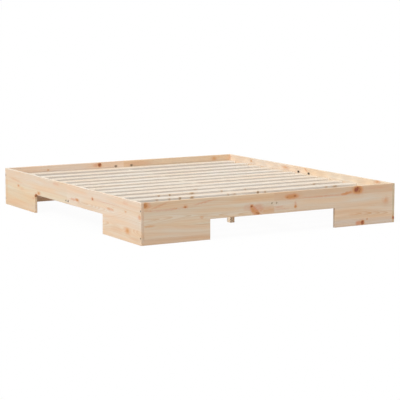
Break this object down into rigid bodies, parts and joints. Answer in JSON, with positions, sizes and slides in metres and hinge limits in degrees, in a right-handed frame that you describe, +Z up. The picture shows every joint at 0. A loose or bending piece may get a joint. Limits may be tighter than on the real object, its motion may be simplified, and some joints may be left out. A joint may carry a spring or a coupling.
{
  "type": "floor bed",
  "caption": "Low wooden bed frame with boarded sides cut away to broad corner feet, cross slats on ledgers and a centre beam on square legs.",
  "frame": {"origin": "on the floor under the middle of the bed, the bottom centre of its bounding box", "axes": "+Z up, +Y along the long sides from the front short side to the rear one, +X along the slats, to the right as seen from the front"},
  "size_m": [1.855, 2.055, 0.255],
  "materials": {
    "panel_pine": "clear satin",
    "batten_pine": "planed, untreated",
    "slat_wood": "planed, untreated",
    "dowel_beech": "fluted, raw",
    "zinc_steel": "zinc plated",
    "cam_zinc": "die-cast, dark"
  },
  "bodies": {
    "root": {"left_front_panel": "panel_pine", "left_rear_panel": "panel_pine", "right_front_panel": "panel_pine", "right_rear_panel": "panel_pine", "front_left_panel": "panel_pine", "front_right_panel": "panel_pine", "rear_left_panel": "panel_pine", "rear_right_panel": "panel_pine", "left_front_ledger": "batten_pine", "left_rear_ledger": "batten_pine", "right_front_ledger": "batten_pine", "right_rear_ledger": "batten_pine", "left_splice_block": "batten_pine", "right_splice_block": "batten_pine", "front_hanger": "batten_pine", "rear_hanger": "batten_pine", "front_beam": "batten_pine", "rear_beam": "batten_pine", "beam_plate": "batten_pine", "front_leg": "batten_pine", "middle_leg": "batten_pine", "rear_leg": "batten_pine", "slat_01": "slat_wood", "slat_02": "slat_wood", "slat_03": "slat_wood", "slat_04": "slat_wood", "slat_05": "slat_wood", "slat_06": "slat_wood", "slat_07": "slat_wood", "slat_08": "slat_wood", "slat_09": "slat_wood", "slat_10": "slat_wood", "slat_11": "slat_wood", "slat_12": "slat_wood", "slat_13": "slat_wood", "corner_bolts": "zinc_steel", "corner_barrel_nuts": "zinc_steel", "joint_rods": "zinc_steel", "splice_bolts": "zinc_steel", "splice_inserts": "zinc_steel", "block_screws": "zinc_steel", "ledger_screws": "zinc_steel", "slat_screws": "zinc_steel", "beam_bolts": "zinc_steel", "beam_nuts": "zinc_steel", "joint_cams": "cam_zinc", "corner_dowels": "dowel_beech", "joint_dowels": "dowel_beech"}
  },
  "joints": []
}
